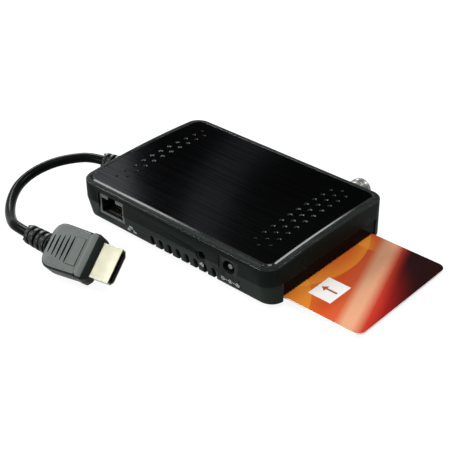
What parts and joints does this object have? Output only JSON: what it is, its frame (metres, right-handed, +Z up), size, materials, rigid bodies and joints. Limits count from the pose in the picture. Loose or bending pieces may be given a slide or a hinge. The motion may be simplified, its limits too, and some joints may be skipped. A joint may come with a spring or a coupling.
{
  "type": "satellite receiver",
  "caption": "Small flat satellite receiver with a brushed top panel, a captive HDMI lead, a smart card in its end slot, and network, infrared, power and aerial sockets.",
  "frame": {"origin": "centre of the flat underside of the case, between the four rubber feet, which stand 1.5 mm below it", "axes": "+X along the case towards the card slot, +Y across it towards the aerial connector, +Z up; the row of sockets faces -Y"},
  "size_m": [0.168, 0.1175, 0.0198],
  "materials": {
    "upper_case": "satin black moulding",
    "lower_case": "satin black moulding, slightly lighter",
    "panel": "brushed and black anodised",
    "window": "dark transparent acrylic, polished",
    "foot_rubber": "soft matt",
    "screw_steel": "zinc plated",
    "board": "green solder mask",
    "reader_plastic": "black moulding",
    "gold_contact": "gold plated",
    "card": "printed and laminated card",
    "socket_metal": "nickel plated sheet",
    "socket_plastic": "black moulding",
    "nickel": "nickel plated, turned",
    "insulator": "white moulding",
    "tin_can": "tin plated sheet",
    "chip_black": "moulded package",
    "heatsink": "extruded and cut",
    "capacitor_can": "drawn cans",
    "lamp": "tinted lens",
    "cord": "satin black sheath",
    "plug_grey": "satin grey overmould",
    "plug_gold": "gold plated sheet",
    "plug_liner": "black moulding"
  },
  "bodies": {
    "case": {"bottom_shell": "lower_case", "top_cover": "upper_case", "top_panel": "panel", "front_window": "window", "rubber_feet": "foot_rubber", "case_screws": "screw_steel", "board_screws": "screw_steel", "main_board": "board", "card_reader": "reader_plastic", "card_contacts": "gold_contact", "lan_shield": "socket_metal", "lan_insert": "socket_plastic", "lan_contacts": "gold_contact", "ir_jack": "socket_plastic", "ir_jack_contact": "socket_metal", "dc_jack": "socket_plastic", "dc_jack_pin": "nickel", "dc_jack_spring": "nickel", "aerial_barrel": "nickel", "aerial_insulator": "insulator", "aerial_contact": "gold_contact", "tuner_can": "tin_can", "main_chip": "chip_black", "heatsink": "heatsink", "memory_chips": "chip_black", "capacitors": "capacitor_can", "power_coil": "chip_black", "ir_receiver": "chip_black", "status_lamp": "lamp", "cable_header": "insulator", "cable_tail": "cord", "cable_boot": "cord", "hdmi_cable": "cord", "plug_boot": "cord", "plug_body": "plug_grey", "plug_shell": "plug_gold", "plug_insert": "plug_liner", "plug_contacts": "gold_contact"},
    "card": {"smart_card": "card", "card_chip": "gold_contact"}
  },
  "joints": [
    {"name": "card_slide", "type": "slide", "parent": "case", "child": "card", "axis": [1, 0, 0], "range_m": [0, 0.056]}
  ]
}
